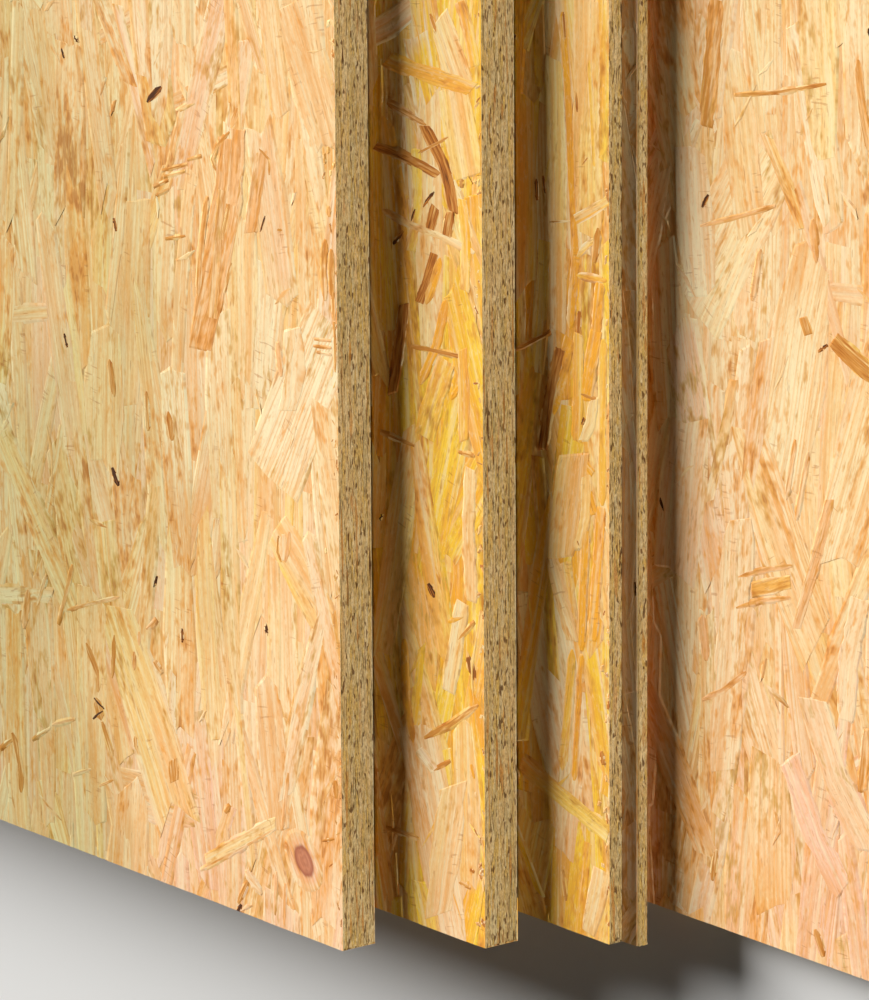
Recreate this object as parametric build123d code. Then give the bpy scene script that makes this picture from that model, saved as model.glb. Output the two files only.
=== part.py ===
"""A stack of four oriented strand boards lying flat on one another.

Three boards have plain sawn edges. The third from the top is a flooring board: a tongue is
milled along its front long edge and the matching groove along its back long edge. The boards
are one size, and each lies further forward, and a little further along, than the one above,
so every front edge and a strip of every face is open to view.

Millimetres, +Z up, X along the boards' length, -Y the front. The origin is at the bottom
centre of the stack's bounding box.
"""

from build123d import *
import os

# One board
board_length = 2500.0
board_width = 1250.0  # over the shoulders on the flooring board, so its tongue is extra
board_thickness = 18.0

# Tongue of the flooring board, as milled
tongue_length = 10.0
tongue_nose_thickness = 5.6
tongue_flank_taper = 0.5  # lost from each flank between root and nose
tongue_drop = 1.4  # the tongue's middle lies this far below the board's middle
tongue_nose_radius = 1.0

# Groove of the flooring board, which takes the tongue of the next board laid
groove_side_clearance = 0.15
groove_end_clearance = 1.0
groove_lead_in = 0.5  # chamfer on both lips

# How far each board lies in front of the one above it, measured between their front shoulders
second_board_step = 76.0
flooring_board_step = 61.0
bottom_board_step = 158.0

# How far each board lies along +X from the one above it
second_board_shift = 16.0
flooring_board_shift = 13.0
bottom_board_shift = 16.0


def square_edge_board():
    """A board with four sawn edges, its front left bottom corner at the origin."""
    outline = Rectangle(board_width, board_thickness, align=(Align.MIN, Align.MIN))
    return extrude(Plane.YZ * outline, board_length)


def flooring_outline():
    """The flooring board's cross-section: tongue at the front (left), groove at the back."""
    middle = board_thickness / 2 - tongue_drop
    nose_half = tongue_nose_thickness / 2
    root_half = nose_half + tongue_flank_taper
    flank_slope = tongue_flank_taper / tongue_length

    groove_depth = tongue_length + groove_end_clearance
    mouth_half = root_half + groove_side_clearance
    floor_half = mouth_half - flank_slope * groove_depth
    groove_floor = board_width - groove_depth

    corners = [
        (0, 0),
        (0, middle - root_half),
        (-tongue_length, middle - nose_half),
        (-tongue_length, middle + nose_half),
        (0, middle + root_half),
        (0, board_thickness),
        (board_width, board_thickness),
        (board_width, middle + mouth_half),
        (groove_floor, middle + floor_half),
        (groove_floor, middle - floor_half),
        (board_width, middle - mouth_half),
        (board_width, 0),
    ]
    outline = make_face(Polyline(*corners, close=True))
    nose_corners = outline.vertices().group_by(Axis.X)[0]
    outline = fillet(nose_corners, tongue_nose_radius)
    lips = outline.vertices().group_by(Axis.X)[-1].sort_by(Axis.Y)[1:-1]
    return chamfer(lips, groove_lead_in)


def flooring_board():
    """The tongue and groove board, the bottom corner of its front shoulder at the origin."""
    return extrude(Plane.YZ * flooring_outline(), board_length)


def stacked():
    """The four boards in their places, from the top one down, as a dict of node name to solid."""
    boards = {
        "top_board": (square_edge_board(), 0, 0),
        "second_board": (square_edge_board(), second_board_step, second_board_shift),
        "tongue_and_groove_board": (flooring_board(), flooring_board_step, flooring_board_shift),
        "bottom_board": (square_edge_board(), bottom_board_step, bottom_board_shift),
    }
    placed = {}
    forward = 0.0
    along = 0.0
    for level, (name, (board, step, shift)) in enumerate(boards.items()):
        forward += step
        along += shift
        height = (len(boards) - 1 - level) * board_thickness
        placed[name] = Pos(along, -forward, height) * board
    return placed


def centred(boards):
    """The boards moved so that the origin is at the bottom centre of the whole stack."""
    whole = Compound(children=[board.moved(Location()) for board in boards.values()])
    box = whole.bounding_box()
    middle = box.center()
    home = Pos(-middle.X, -middle.Y, -box.min.Z)
    return {name: home * board for name, board in boards.items()}


os.makedirs("parts", exist_ok=True)
for node, solid in centred(stacked()).items():
    export_step(solid, os.path.join("parts", node + ".step"))
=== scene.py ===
"""The looks of a stack of four oriented strand boards, in metres, in the frame of the solids.

Each board is made again as the real one is: a core a little smaller than the board, long thin
wood strands pressed over its faces, and rows of cut strand ends along its sawn edges. Their
outer faces lie inside the board's own size. Every strand carries where each of its points lies
along and across the grain, and its tone, and the materials draw the wood from that.
"""

import math
import random

import bpy
from mathutils import Matrix, Vector


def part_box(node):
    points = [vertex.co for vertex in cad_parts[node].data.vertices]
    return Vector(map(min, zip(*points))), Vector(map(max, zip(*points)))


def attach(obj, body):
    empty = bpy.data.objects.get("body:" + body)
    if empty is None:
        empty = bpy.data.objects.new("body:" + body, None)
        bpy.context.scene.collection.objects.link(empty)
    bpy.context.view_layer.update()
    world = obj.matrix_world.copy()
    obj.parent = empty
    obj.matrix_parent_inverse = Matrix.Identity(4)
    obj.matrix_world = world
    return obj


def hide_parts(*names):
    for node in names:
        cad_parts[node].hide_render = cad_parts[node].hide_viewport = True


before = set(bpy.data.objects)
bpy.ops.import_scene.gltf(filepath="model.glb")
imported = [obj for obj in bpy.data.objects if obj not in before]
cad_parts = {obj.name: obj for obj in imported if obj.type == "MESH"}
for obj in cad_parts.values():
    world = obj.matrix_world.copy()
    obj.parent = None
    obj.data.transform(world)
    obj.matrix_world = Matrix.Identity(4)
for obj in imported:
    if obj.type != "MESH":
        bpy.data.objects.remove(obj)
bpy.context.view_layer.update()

MM = 0.001

# The camera. The boards were photographed standing on their short ends, side by side. They lie
# flat here, and the camera has turned with them: the picture's up is the boards' +X.
PHOTO_WIDTH = 869
PHOTO_HEIGHT = 1000
FOCAL_PIXELS = 7857.7
SENSOR_MM = 36.0
VIEW_YAW = math.radians(37.6)  # off the boards' faces
VIEW_PITCH = math.radians(13.99)  # down towards the boards' near short ends
VIEW_ROLL = math.radians(-0.37)
EYE_FROM_CORNER = Vector((1.0001, -2.5732, 1.9302))  # from the top board's near top corner

# How the strands lie on a board
CORE_INSET = 0.4 * MM
LOWEST_STRAND = 0.09 * MM  # over the core
HIGHEST_STRAND = 0.395 * MM
BED_RANKS = 0.0, 0.13  # shares of the way from the lowest strand to the highest
STRAND_RANKS = 0.2, 0.73
CHIP_RANKS = 0.75, 0.8
DRAWN_RANKS = 0.81, 1.0
BED_REPEAT = 3, 3  # rows and columns after which strands may lie at the same height again
STRAND_REPEAT = 9, 5
STRAND_PITCH = 66 * MM, 12.5 * MM  # along the board and across it
FOOT_DEPTH = 0.45 * MM  # how far under the surface a strand's foot lies
SKIRT_SLOPE = 8.0  # how far a strand's foot spreads for each unit of its height
CHIP_SLOPE = 4.5
RIM_STEP = 0.3  # how far a lower strand stays back from the sawn edge, for each unit of depth
EDGE_RECESS = 0.05 * MM
EDGE_STEP = 0.006 * MM  # between the depths of neighbouring strand ends
EDGE_REPEAT = 3  # rows and columns after which strand ends may lie at the same depth again
DEEPER = 12  # of those steps, for a dark strand end
HIDDEN_MARGIN = 6 * MM  # how far strands run on under the board above
INWARD = 0.15  # how far a strand's foot shrinks towards its middle on the baked map
MAP_MARGIN = 0.0015

# The strands of a pressed face, in mm. Three numbers are the least, the most and the usual one.
STRAND_LENGTHS = 60, 145, 105
STRAND_WIDTHS = 2.65, 0.5  # middle and spread of their logarithm
WIDEST_STRAND = 38
TORN_WIDTH = 9  # a wider strand has ends that are torn into a point or a notch
STRAND_SPREAD = math.radians(14)  # of their directions
STRAND_BOW = 0.012  # of their length
CROSSING_STRANDS = 0.08  # the share of them that lie in any direction
CROSSING_SIZE = 0.6
SPLINTER_FROM = 0.5  # a browner strand is a dark splinter
SPLINTER_SIZE = 0.15, 0.25  # of a strand's length and width
BED_SIZE = 130, 26
BED_PITCH = 0.8, 0.75  # of that size
BED_SPREAD = math.radians(0.8)
BED_BROWNS = 0.12, 0.3
BED_SHADE = 0.8  # of a strand's
TEAR = 0.16, 1.6  # of length and width, whichever is less

# The slivers on top of them, in mm
CHIP_LENGTHS = 5, 30, 10
CHIP_WIDTHS = 0.6, 3.0, 1.2
CHIP_BROWNS = 0.0, 0.0, 0.2, 0.3, 0.45, 0.45, 0.9
DARK_CHIP_LENGTHS = 2.5, 9, 4
CHIP_SPREAD = math.radians(38)
CHIP_BOW = 0.05
CHIP_FIGURE = 0.2

# The torn specks by the front arris of a face
SPECK_PITCH = 7 * MM  # of the arris for each of them
SPECK_BAND = 2.2 * MM  # how far in from the arris they lie on average
SPECK_LENGTHS = 1.5, 4.5
SPECK_WIDTHS = 0.5, 1.3
SPECK_SPREAD = math.radians(45)
SPECK_BROWNS = 0.36, 0.62

# The strands and marks that are drawn from the photograph, in its pixels
BROAD_STRAND = 8.5  # a wider strand has blunt ends
DRAWN_STEP = 5.0  # between the points of its middle line
BLUNT_ENDS = (0.75, 1.0), (0.9, 1.0)  # spans of width at the last point and the one before it
POINTED_ENDS = (0.05, 0.35), (0.55, 0.95)
ASKEW = 0.25  # of its width, at a blunt end
UNEVEN = 0.85, 1.15
KNOT_CENTRE = 304, 861
KNOT_SIZE = 15.5, 29  # half of its width and height
KNOT_LEAN = 0.3  # of its height, sideways
KNOT_CORNERS = 16

# The cut strand ends of a sawn edge: the height of a row and the usual length in it
SEEN_EDGE = {"layer": 0.85 * MM, "mean_length": 16 * MM}
PLAIN_EDGE = {"layer": 1.1 * MM, "mean_length": 28 * MM}
MILLED_EDGE = {"layer": 1.1 * MM, "mean_length": 11 * MM}
OUTER_LAYERS = 0.28  # further than this share of the thickness from the middle
LONGER_OUTSIDE = 1.7  # times as long as those nearer the middle
END_LENGTHS = 0.25, 2.2, 0.8
END_WIDTHS = 0.7, 1.0
END_SPREAD = 0.012
DARK_ENDS = 0.02  # the share of them, and how brown they are
DARK_END_BROWNS = 0.6, 1.0
BROWN_ENDS = 0.06
BROWN_END_BROWNS = 0.2, 0.5

# How a strand's tone is drawn, and the number that makes its figure its own
SHADES = 2.2, 1.6
PINKS = 1.2, 2.4
DARK_BROWNS = 0.55, 1.0
ORANGE_BROWNS = 0.12, 0.45
FIGURES = 1.4, 1.6
SEEDS = 0, 100
DRAWN_FIGURE = 1.3  # over 1 a strand is one drawn from the photograph, and over 2 a knot
KNOT_FIGURE = 2.5
CORE_TONE = 0.5, 0.3, 0.1, 0.2  # the core is one big strand, which hardly shows
CORE_SPAN = 1.0, 1.0, 0.5

# Material slots of every piece
FACE = 0
SAWN = 1

# The boards, their tongue and their groove, as in the solids
BOARD_THICKNESS = 18.0 * MM
TONGUE_LENGTH = 10.0 * MM
TONGUE_NOSE = 5.6 * MM
TONGUE_TAPER = 0.5 * MM
TONGUE_DROP = 1.4 * MM
TONGUE_ROUNDING = 1.0 * MM
GROOVE_SIDE_CLEARANCE = 0.15 * MM
GROOVE_END_CLEARANCE = 1.0 * MM
GROOVE_LEAD_IN = 0.5 * MM
TONGUE_SKIN = 0.1 * MM  # how far the core stays back from the tongue's nose
FLANK_LIFT = 0.05 * MM  # of a flank's outer line over the nose
END_BACK = 0.3 * MM  # how far the strand ends stay back from the tongue's tip

TOP = "top_board"
SECOND = "second_board"
FLOORING = "tongue_and_groove_board"
BOTTOM = "bottom_board"


def camera_axes():
    """The camera's right, up and forward in the frame of the boards."""
    forward = Vector((
        -math.sin(VIEW_PITCH),
        math.cos(VIEW_PITCH) * math.cos(VIEW_YAW),
        -math.cos(VIEW_PITCH) * math.sin(VIEW_YAW),
    ))
    unrolled = Vector((0, -math.sin(VIEW_YAW), -math.cos(VIEW_YAW)))
    right = Matrix.Rotation(VIEW_ROLL, 3, -forward) @ unrolled
    return right, right.cross(forward), forward


RIGHT, UP, FORWARD = camera_axes()
NEAR_CORNER = Vector((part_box(TOP)[0].x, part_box(TOP)[0].y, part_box(TOP)[1].z))
EYE = NEAR_CORNER + EYE_FROM_CORNER


def make_camera():
    data = bpy.data.cameras.new("camera")
    data.sensor_width = SENSOR_MM
    data.lens = SENSOR_MM * FOCAL_PIXELS / PHOTO_HEIGHT
    data.clip_start = 0.1
    data.clip_end = 200
    camera = bpy.data.objects.new("camera", data)
    bpy.context.scene.collection.objects.link(camera)
    turn = Matrix((RIGHT, UP, -FORWARD)).transposed()
    camera.matrix_world = Matrix.Translation(EYE) @ turn.to_4x4()
    bpy.context.scene.camera = camera


class Surface:
    """A flat face of a board: s runs along it, t across it, and heights stand out from it."""

    def __init__(self, corner, along, across, length, width, material):
        self.corner = Vector(corner)
        self.along = Vector(along).normalized()
        self.across = Vector(across).normalized()
        self.out = self.along.cross(self.across)
        self.length = length
        self.width = width
        self.material = material
        self.windows = []

    def point(self, s, t, height):
        return self.corner + self.along * s + self.across * t + self.out * height

    def seen_at(self, pixel):
        """Where a pixel of the photograph lies on the surface, as s and t."""
        right = (pixel[0] - PHOTO_WIDTH / 2) / FOCAL_PIXELS
        down = (pixel[1] - PHOTO_HEIGHT / 2) / FOCAL_PIXELS
        ray = FORWARD + RIGHT * right - UP * down
        point = EYE + ray * ((self.corner - EYE).dot(self.out) / ray.dot(self.out))
        offset = point - self.corner
        return offset.dot(self.along), offset.dot(self.across)


class Window:
    """A rectangle of a surface where a piece shows, with its own rectangle of the baked map."""

    def __init__(self, piece, surface, s_from, s_to, t_from, t_to):
        self.piece = piece
        self.low = s_from, t_from
        self.high = s_to, t_to
        self.length = s_to - s_from
        self.width = t_to - t_from
        self.outer_low = [value < 1e-6 for value in self.low]
        size = surface.length, surface.width
        self.outer_high = [size[axis] - self.high[axis] < 1e-6 for axis in (0, 1)]
        self.room = None

    def misses(self, middle, reach):
        return any(
            middle[axis] + reach < self.low[axis] or middle[axis] - reach > self.high[axis]
            for axis in (0, 1)
        )

    def limits(self, axis, inset):
        """The window's own ends on an axis, drawn in a little where the surface ends there too."""
        return (
            self.low[axis] + inset * self.outer_low[axis],
            self.high[axis] - inset * self.outer_high[axis],
        )

    def clip(self, corners, inset):
        """The part of an outline inside the window. Each corner is s, t, along, across."""
        for axis in (0, 1):
            low, high = self.limits(axis, inset)
            for limit, side in ((low, 1), (high, -1)):
                kept = []
                for number, here in enumerate(corners):
                    before = corners[number - 1]
                    inside = (here[axis] - limit) * side
                    inside_before = (before[axis] - limit) * side
                    if inside * inside_before < 0:
                        share = inside_before / (inside_before - inside)
                        kept.append(tuple(b + (h - b) * share for b, h in zip(before, here)))
                    if inside >= 0:
                        kept.append(here)
                corners = kept
        return corners if len(corners) >= 3 else []

    def place(self, s, t):
        """Where a point of the surface lies on the piece's baked map."""
        left, low, right, high = self.room
        share_s = (s - self.low[0]) / self.length
        share_t = (t - self.low[1]) / self.width
        return left + (right - left) * share_s, low + (high - low) * share_t


class Piece:
    """The points and faces of one mesh, with what its materials and its baked map read."""

    def __init__(self, name, node, areas):
        """areas holds the rectangles it covers, each as surface, s from and to, t from and to."""
        self.name = name
        self.node = node
        self.shapes = []
        covered = sum((area[2] - area[1]) * (area[4] - area[3]) for area in areas)
        windows = []
        for surface, s_from, s_to, t_from, t_to in areas:
            count = max(round((s_to - s_from) / math.sqrt(covered)), 1)
            step = (s_to - s_from) / count
            for number in range(count):
                start = s_from + number * step
                window = Window(self, surface, start, start + step, t_from, t_to)
                surface.windows.append(window)
                windows.append(window)
        self.give_rooms(windows)

    def give_rooms(self, windows):
        """Stacks the windows on the baked map, each with a narrow margin round it."""
        longest = max(window.length for window in windows)
        total = sum(window.width for window in windows)
        used = 0.0
        for window in windows:
            low, high = used / total, (used + window.width) / total
            used += window.width
            margin = min(MAP_MARGIN, (high - low) / 5)
            right = window.length / longest
            window.room = (margin, low + margin, right - margin, high - margin)

    def add(self, height, points, faces, grain, tone, span, places, material):
        """Keeps one closed shape. It has an entry of grain and of places for each point."""
        self.shapes.append((height, points, faces, grain, tone, span, places, material))

    def build(self, materials):
        """Makes the mesh. The highest shape comes last, since the baked map keeps the last."""
        all_points, all_grain, all_tone, all_span = [], [], [], []
        all_faces, layout, slots = [], [], []
        for shape in sorted(self.shapes, key=lambda shape: shape[0]):
            _, points, faces, grain, tone, span, places, material = shape
            first = len(all_points)
            all_points += points
            all_grain += grain
            all_tone += [tone] * len(points)
            all_span += [span] * len(points)
            for face in faces:
                all_faces.append([first + corner for corner in face])
                layout += [value for corner in face for value in places[corner]]
                slots.append(material)
        mesh = make_mesh(self.name, all_points, all_faces, all_grain, all_tone, all_span)
        mesh.uv_layers.new(name="OFBake").data.foreach_set("uv", layout)
        mesh.polygons.foreach_set("material_index", slots)
        show(mesh, self.node, materials)


def make_mesh(name, points, faces, grain, tone, span):
    mesh = bpy.data.meshes.new(name)
    mesh.from_pydata(points, [], faces)
    for attribute_name, kind, values in (
        ("grain", "FLOAT_VECTOR", grain),
        ("span", "FLOAT_VECTOR", span),
        ("tone", "FLOAT_COLOR", tone),
    ):
        attribute = mesh.attributes.new(attribute_name, kind, "POINT")
        field = "color" if kind == "FLOAT_COLOR" else "vector"
        attribute.data.foreach_set(field, [value for entry in values for value in entry])
    return mesh


def show(mesh, node, materials):
    """Puts a mesh in the scene as a piece that stands for a node of the solids."""
    for material in materials:
        mesh.materials.append(material)
    piece = bpy.data.objects.new(mesh.name, mesh)
    bpy.context.scene.collection.objects.link(piece)
    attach(piece, "root")
    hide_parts(node)
    print(mesh.name, sum(len(face.vertices) - 2 for face in mesh.polygons), "triangles")


def prism_sides(count):
    """The faces between two rings of corners. The second ring's numbers follow the first's."""
    return [
        [number, count + number, count + (number + 1) % count, (number + 1) % count]
        for number in range(count)
    ]


def turned_outline(strand):
    """A strand's outline on its surface, turned and bowed. Each corner is s, t, along, across."""
    cosine, sine = math.cos(strand["angle"]), math.sin(strand["angle"])
    middle_s, middle_t = strand["middle"]
    turned = []
    for along, across in strand["outline"]:
        bowed = across + strand["bow"] * (1 - (along / strand["half_length"]) ** 2)
        s = middle_s + along * cosine - bowed * sine
        t = middle_t + along * sine + bowed * cosine
        turned.append((s, t, along, across))
    return turned


def spread_foot(corners, run, lows, highs):
    """A strand's outline moved outwards by run, and kept inside the window."""
    spread = []
    for number, here in enumerate(corners):
        before, after = corners[number - 1], corners[(number + 1) % len(corners)]
        away_s = (here[1] - before[1]) + (after[1] - here[1])
        away_t = -(here[0] - before[0]) - (after[0] - here[0])
        size = math.hypot(away_s, away_t) or 1.0
        spread.append((
            min(max(here[0] + run * away_s / size, lows[0]), highs[0]),
            min(max(here[1] + run * away_t / size, lows[1]), highs[1]),
        ))
    return spread


def lay(surface, strand, height, foot=-FOOT_DEPTH, slope=SKIRT_SLOPE):
    """Adds a strand as a thin closed plate with sloping sides, cut off where its windows end."""
    half_length, half_width = strand["half_length"], strand["half_width"]
    reach = half_length + half_width
    windows = [w for w in surface.windows if not w.misses(strand["middle"], reach)]
    if not windows:
        return
    outline = strand.get("drawn") or turned_outline(strand)
    inset = (HIGHEST_STRAND - CORE_INSET - height) * RIM_STEP
    for window in windows:
        corners = window.clip(outline, inset)
        count = len(corners)
        if count == 0:
            continue
        centre_s = sum(corner[0] for corner in corners) / count
        centre_t = sum(corner[1] for corner in corners) / count
        lows, highs = zip(window.limits(0, inset), window.limits(1, inset))
        feet = spread_foot(corners, (height - foot) * slope, lows, highs)
        points = [surface.point(s, t, height) for s, t, _, _ in corners]
        points += [surface.point(s, t, foot) for s, t in feet]
        grain = [(along, across, strand["seed"]) for _, _, along, across in corners]
        places = [window.place(s, t) for s, t, _, _ in corners]
        places += [
            window.place(s + (centre_s - s) * INWARD, t + (centre_t - t) * INWARD)
            for s, t, _, _ in corners
        ]
        faces = [list(range(count, 2 * count))[::-1], *prism_sides(count), list(range(count))]
        span = (half_length, half_width, strand["figure"])
        looks = strand["tone"], span, places, surface.material
        window.piece.add(height, points, faces, grain * 2, *looks)


def torn_outline(rng, length, width):
    """A long strand's outline, nearly straight along the grain and torn at both ends."""
    half, side = length / 2, width / 2
    tear = min(TEAR[0] * length, TEAR[1] * width)
    near, far = rng.uniform(0.55, 1.0), rng.uniform(0.55, 1.0)
    outline = [
        (-half + rng.uniform(0, tear), -side * near),
        (rng.uniform(-0.2, 0.2) * half, -side),
        (half - rng.uniform(0, tear), -side * far),
    ]
    torn_deep = width > TORN_WIDTH * MM
    if torn_deep:
        outline.append((half - rng.uniform(0, tear), rng.uniform(-0.3, 0.3) * side))
    outline += [
        (half - rng.uniform(0, tear), side * far),
        (rng.uniform(-0.2, 0.2) * half, side),
        (-half + rng.uniform(0, tear), side * near),
    ]
    if torn_deep:
        outline.append((-half + rng.uniform(0, tear), rng.uniform(-0.3, 0.3) * side))
    return outline


def needle_outline(rng, length, width):
    """A sliver's outline, pointed at both ends."""
    half, side = length / 2, width / 2
    return [
        (-half, rng.uniform(-0.4, 0.4) * side),
        (rng.uniform(-0.6, 0.1) * half, -side),
        (half, rng.uniform(-0.4, 0.4) * side),
        (rng.uniform(-0.1, 0.6) * half, side),
    ]


def square_outline(length, width):
    half, side = length / 2, width / 2
    return [(-half, -side), (half, -side), (half, side), (-half, side)]


def random_tone(rng, look):
    """A face strand's shade, pinkness, brownness and goldenness."""
    luck = rng.random()
    brown = 0.0
    if luck < look["dark"]:
        brown = rng.uniform(*DARK_BROWNS)
    elif luck < look["dark"] + look["orange"]:
        brown = rng.uniform(*ORANGE_BROWNS)
    gold = min(max(rng.gauss(look["gold"], look["gold_spread"]), 0), 1)
    return rng.betavariate(*SHADES), rng.betavariate(*PINKS), brown, gold


def face_strand(rng, middle, look):
    length = rng.triangular(*STRAND_LENGTHS) * MM
    width = min(rng.lognormvariate(*STRAND_WIDTHS), WIDEST_STRAND) * MM
    angle = rng.gauss(0, STRAND_SPREAD)
    if rng.random() < CROSSING_STRANDS:
        angle = rng.uniform(-math.pi / 2, math.pi / 2)
        length *= CROSSING_SIZE
        width *= CROSSING_SIZE
    tone = random_tone(rng, look)
    dark = tone[2] > SPLINTER_FROM
    if dark:
        length *= SPLINTER_SIZE[0]
        width *= SPLINTER_SIZE[1]
    return {
        "middle": middle,
        "angle": angle,
        "bow": rng.gauss(0, STRAND_BOW) * length,
        "half_length": length / 2,
        "half_width": width / 2,
        "outline": (needle_outline if dark else torn_outline)(rng, length, width),
        "tone": tone,
        "figure": rng.betavariate(*FIGURES),
        "seed": rng.uniform(*SEEDS),
    }


def bed_strand(rng, middle, look, length, width):
    """A plain strand of the lowest layer, which shows only between the others."""
    shade, pink, brown, gold = random_tone(rng, look)
    return {
        "middle": middle,
        "angle": rng.gauss(0, BED_SPREAD),
        "bow": 0.0,
        "half_length": length / 2,
        "half_width": width / 2,
        "outline": square_outline(length, width),
        "tone": (shade * BED_SHADE, pink, min(max(brown, BED_BROWNS[0]), BED_BROWNS[1]), gold),
        "figure": rng.random(),
        "seed": rng.uniform(*SEEDS),
    }


def small_chip(rng, middle, look):
    """A sliver or splinter, which lies on top of the strands."""
    length = rng.triangular(*CHIP_LENGTHS) * MM
    width = rng.triangular(*CHIP_WIDTHS) * MM
    brown = rng.choice(CHIP_BROWNS)
    if brown > SPLINTER_FROM:
        length = rng.triangular(*DARK_CHIP_LENGTHS) * MM
    return {
        "middle": middle,
        "angle": rng.gauss(0, CHIP_SPREAD),
        "bow": rng.gauss(0, CHIP_BOW) * length,
        "half_length": length / 2,
        "half_width": width / 2,
        "outline": needle_outline(rng, length, width),
        "tone": (rng.random(), rng.random() * 0.5, brown, look["gold"]),
        "figure": CHIP_FIGURE,
        "seed": rng.uniform(*SEEDS),
    }


def height_at(rank):
    """A strand's upper face over the surface, by its rank from 0 at the lowest to 1 on top."""
    return -CORE_INSET + LOWEST_STRAND + (HIGHEST_STRAND - LOWEST_STRAND) * rank


def level(ranks, share):
    """The height at a share of the way through a span of ranks."""
    return height_at(ranks[0] + (ranks[1] - ranks[0]) * share)


def loose_lattice(rng, surface, pitch, looseness, repeat):
    """Middles for strands, in rows along the surface, each a little out of place.

    Each comes with a share from 0 to 1 that settles its height. No two strands that are near each
    other have the same share, because two plates at one height would shade each other wrongly.
    """
    pitch_along, pitch_across = pitch
    rows, columns = repeat
    shares = [(step + 0.5) / (rows * columns) for step in range(rows * columns)]
    rng.shuffle(shares)
    middles = []
    for row in range(math.ceil(surface.width / pitch_across) + 1):
        start = -rng.uniform(0, pitch_along)
        for column in range(math.ceil(surface.length / pitch_along) + 2):
            s = start + (column + rng.uniform(-0.3, 0.3) * looseness) * pitch_along
            t = (row + rng.uniform(-0.5, 0.5) * looseness) * pitch_across
            share = shares[(row % rows) * columns + column % columns]
            middles.append(((s, t), share))
    return middles


def lay_face(surface, look, seed, pitch_scale=1.0, chips_each=0.35):
    """Covers a pressed face: a plain bed, then strands in random order, then slivers."""
    rng = random.Random(seed)
    size = [side * MM * pitch_scale for side in BED_SIZE]
    pitch = [share * side for share, side in zip(BED_PITCH, size)]
    for middle, share in loose_lattice(rng, surface, pitch, 0.2, BED_REPEAT):
        lay(surface, bed_strand(rng, middle, look, *size), level(BED_RANKS, share))
    pitch = [side * pitch_scale for side in STRAND_PITCH]
    middles = loose_lattice(rng, surface, pitch, 1.0, STRAND_REPEAT)
    for middle, share in middles:
        lay(surface, face_strand(rng, middle, look), level(STRAND_RANKS, share))
    chips = int(len(middles) * chips_each)
    for number in range(chips):
        middle = rng.uniform(0, surface.length), rng.uniform(0, surface.width)
        height = level(CHIP_RANKS, number / chips)
        lay(surface, small_chip(rng, middle, look), height, slope=CHIP_SLOPE)


def in_steps(corners, step):
    """A broken line's corners with more points between them, about a step apart."""
    points = [corners[0]]
    for before, here in zip(corners, corners[1:]):
        parts = max(round((here - before).length / step), 1)
        points += [before.lerp(here, part / parts) for part in range(1, parts + 1)]
    if len(points) == 2:
        points.insert(1, points[0].lerp(points[1], 0.5))
    return points


def lay_drawn(surface, tone, width, pixels, rng, height):
    """Adds a strand whose middle line runs through pixels of the photograph."""
    line = in_steps([Vector(pixel) for pixel in pixels], max(DRAWN_STEP, 0.6 * width))
    broad = width > BROAD_STRAND
    ends = BLUNT_ENDS if broad else POINTED_ENDS
    askew = rng.uniform(-ASKEW, ASKEW) * width if broad else 0.0
    left, right = [], []
    run = 0.0
    before = None
    for number, point in enumerate(line):
        ahead = line[min(number + 1, len(line) - 1)] - line[max(number - 1, 0)]
        side = Vector((-ahead.y, ahead.x)).normalized()
        from_end = min(number, len(line) - 1 - number)
        taper = rng.uniform(*ends[from_end]) if from_end < len(ends) else 1.0
        side *= 0.5 * width * taper * rng.uniform(*UNEVEN)
        if from_end == 0:
            side += ahead.normalized() * askew
        middle, edge = (Vector(surface.seen_at(spot)) for spot in (point, point + side))
        run += (middle - before).length if before else 0.0
        before = middle
        across = (edge - middle).length
        left.append((*edge, run, across))
        right.append((*(2 * middle - edge), run, -across))
    outline = [(s, t, along - run / 2, across) for s, t, along, across in left + right[::-1]]
    if on_left_turn(outline):
        outline = outline[::-1]
    middle = [sum(corner[axis] for corner in outline) / len(outline) for axis in (0, 1)]
    strand = {
        "drawn": outline,
        "middle": middle,
        "half_length": run / 2,
        "half_width": max(abs(corner[3]) for corner in outline),
        "tone": tone,
        "figure": DRAWN_FIGURE,
        "seed": rng.uniform(*SEEDS),
    }
    lay(surface, strand, height, slope=CHIP_SLOPE)


def on_left_turn(outline):
    """Whether an outline runs clockwise, so that a plate on it would face inwards."""
    area = sum(
        before[0] * here[1] - here[0] * before[1]
        for before, here in zip(outline[-1:] + outline[:-1], outline)
    )
    return area < 0


def lay_features(surface, features, seed):
    """Adds the strands and marks that the photograph shows on a face, in the order given."""
    rng = random.Random(seed)
    for number, (tone, width, pixels) in enumerate(features):
        lay_drawn(surface, tone, width, pixels, rng, level(DRAWN_RANKS, number / len(features)))


def lay_knot(surface, seed):
    """Adds the knot with the stained wood around it."""
    half_width, half_height = KNOT_SIZE
    spots = []
    for step in range(KNOT_CORNERS):
        angle = 2 * math.pi * step / KNOT_CORNERS
        aside, down = math.cos(angle), math.sin(angle)
        sideways = half_width * aside + KNOT_LEAN * half_height * down
        pixel = KNOT_CENTRE[0] + sideways, KNOT_CENTRE[1] + half_height * down
        s, t = surface.seen_at(pixel)
        spots.append((s, t, down, aside))
    if on_left_turn(spots):
        spots = spots[::-1]
    half_length = (max(spot[0] for spot in spots) - min(spot[0] for spot in spots)) / 2
    half_breadth = (max(spot[1] for spot in spots) - min(spot[1] for spot in spots)) / 2
    strand = {
        "drawn": [(s, t, half_length * down, half_breadth * aside) for s, t, down, aside in spots],
        "middle": surface.seen_at(KNOT_CENTRE),
        "half_length": half_length,
        "half_width": half_breadth,
        "tone": (0.6, 1.0, 0.0, 0.0),
        "figure": KNOT_FIGURE,
        "seed": seed,
    }
    lay(surface, strand, height_at(1.0))


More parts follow.
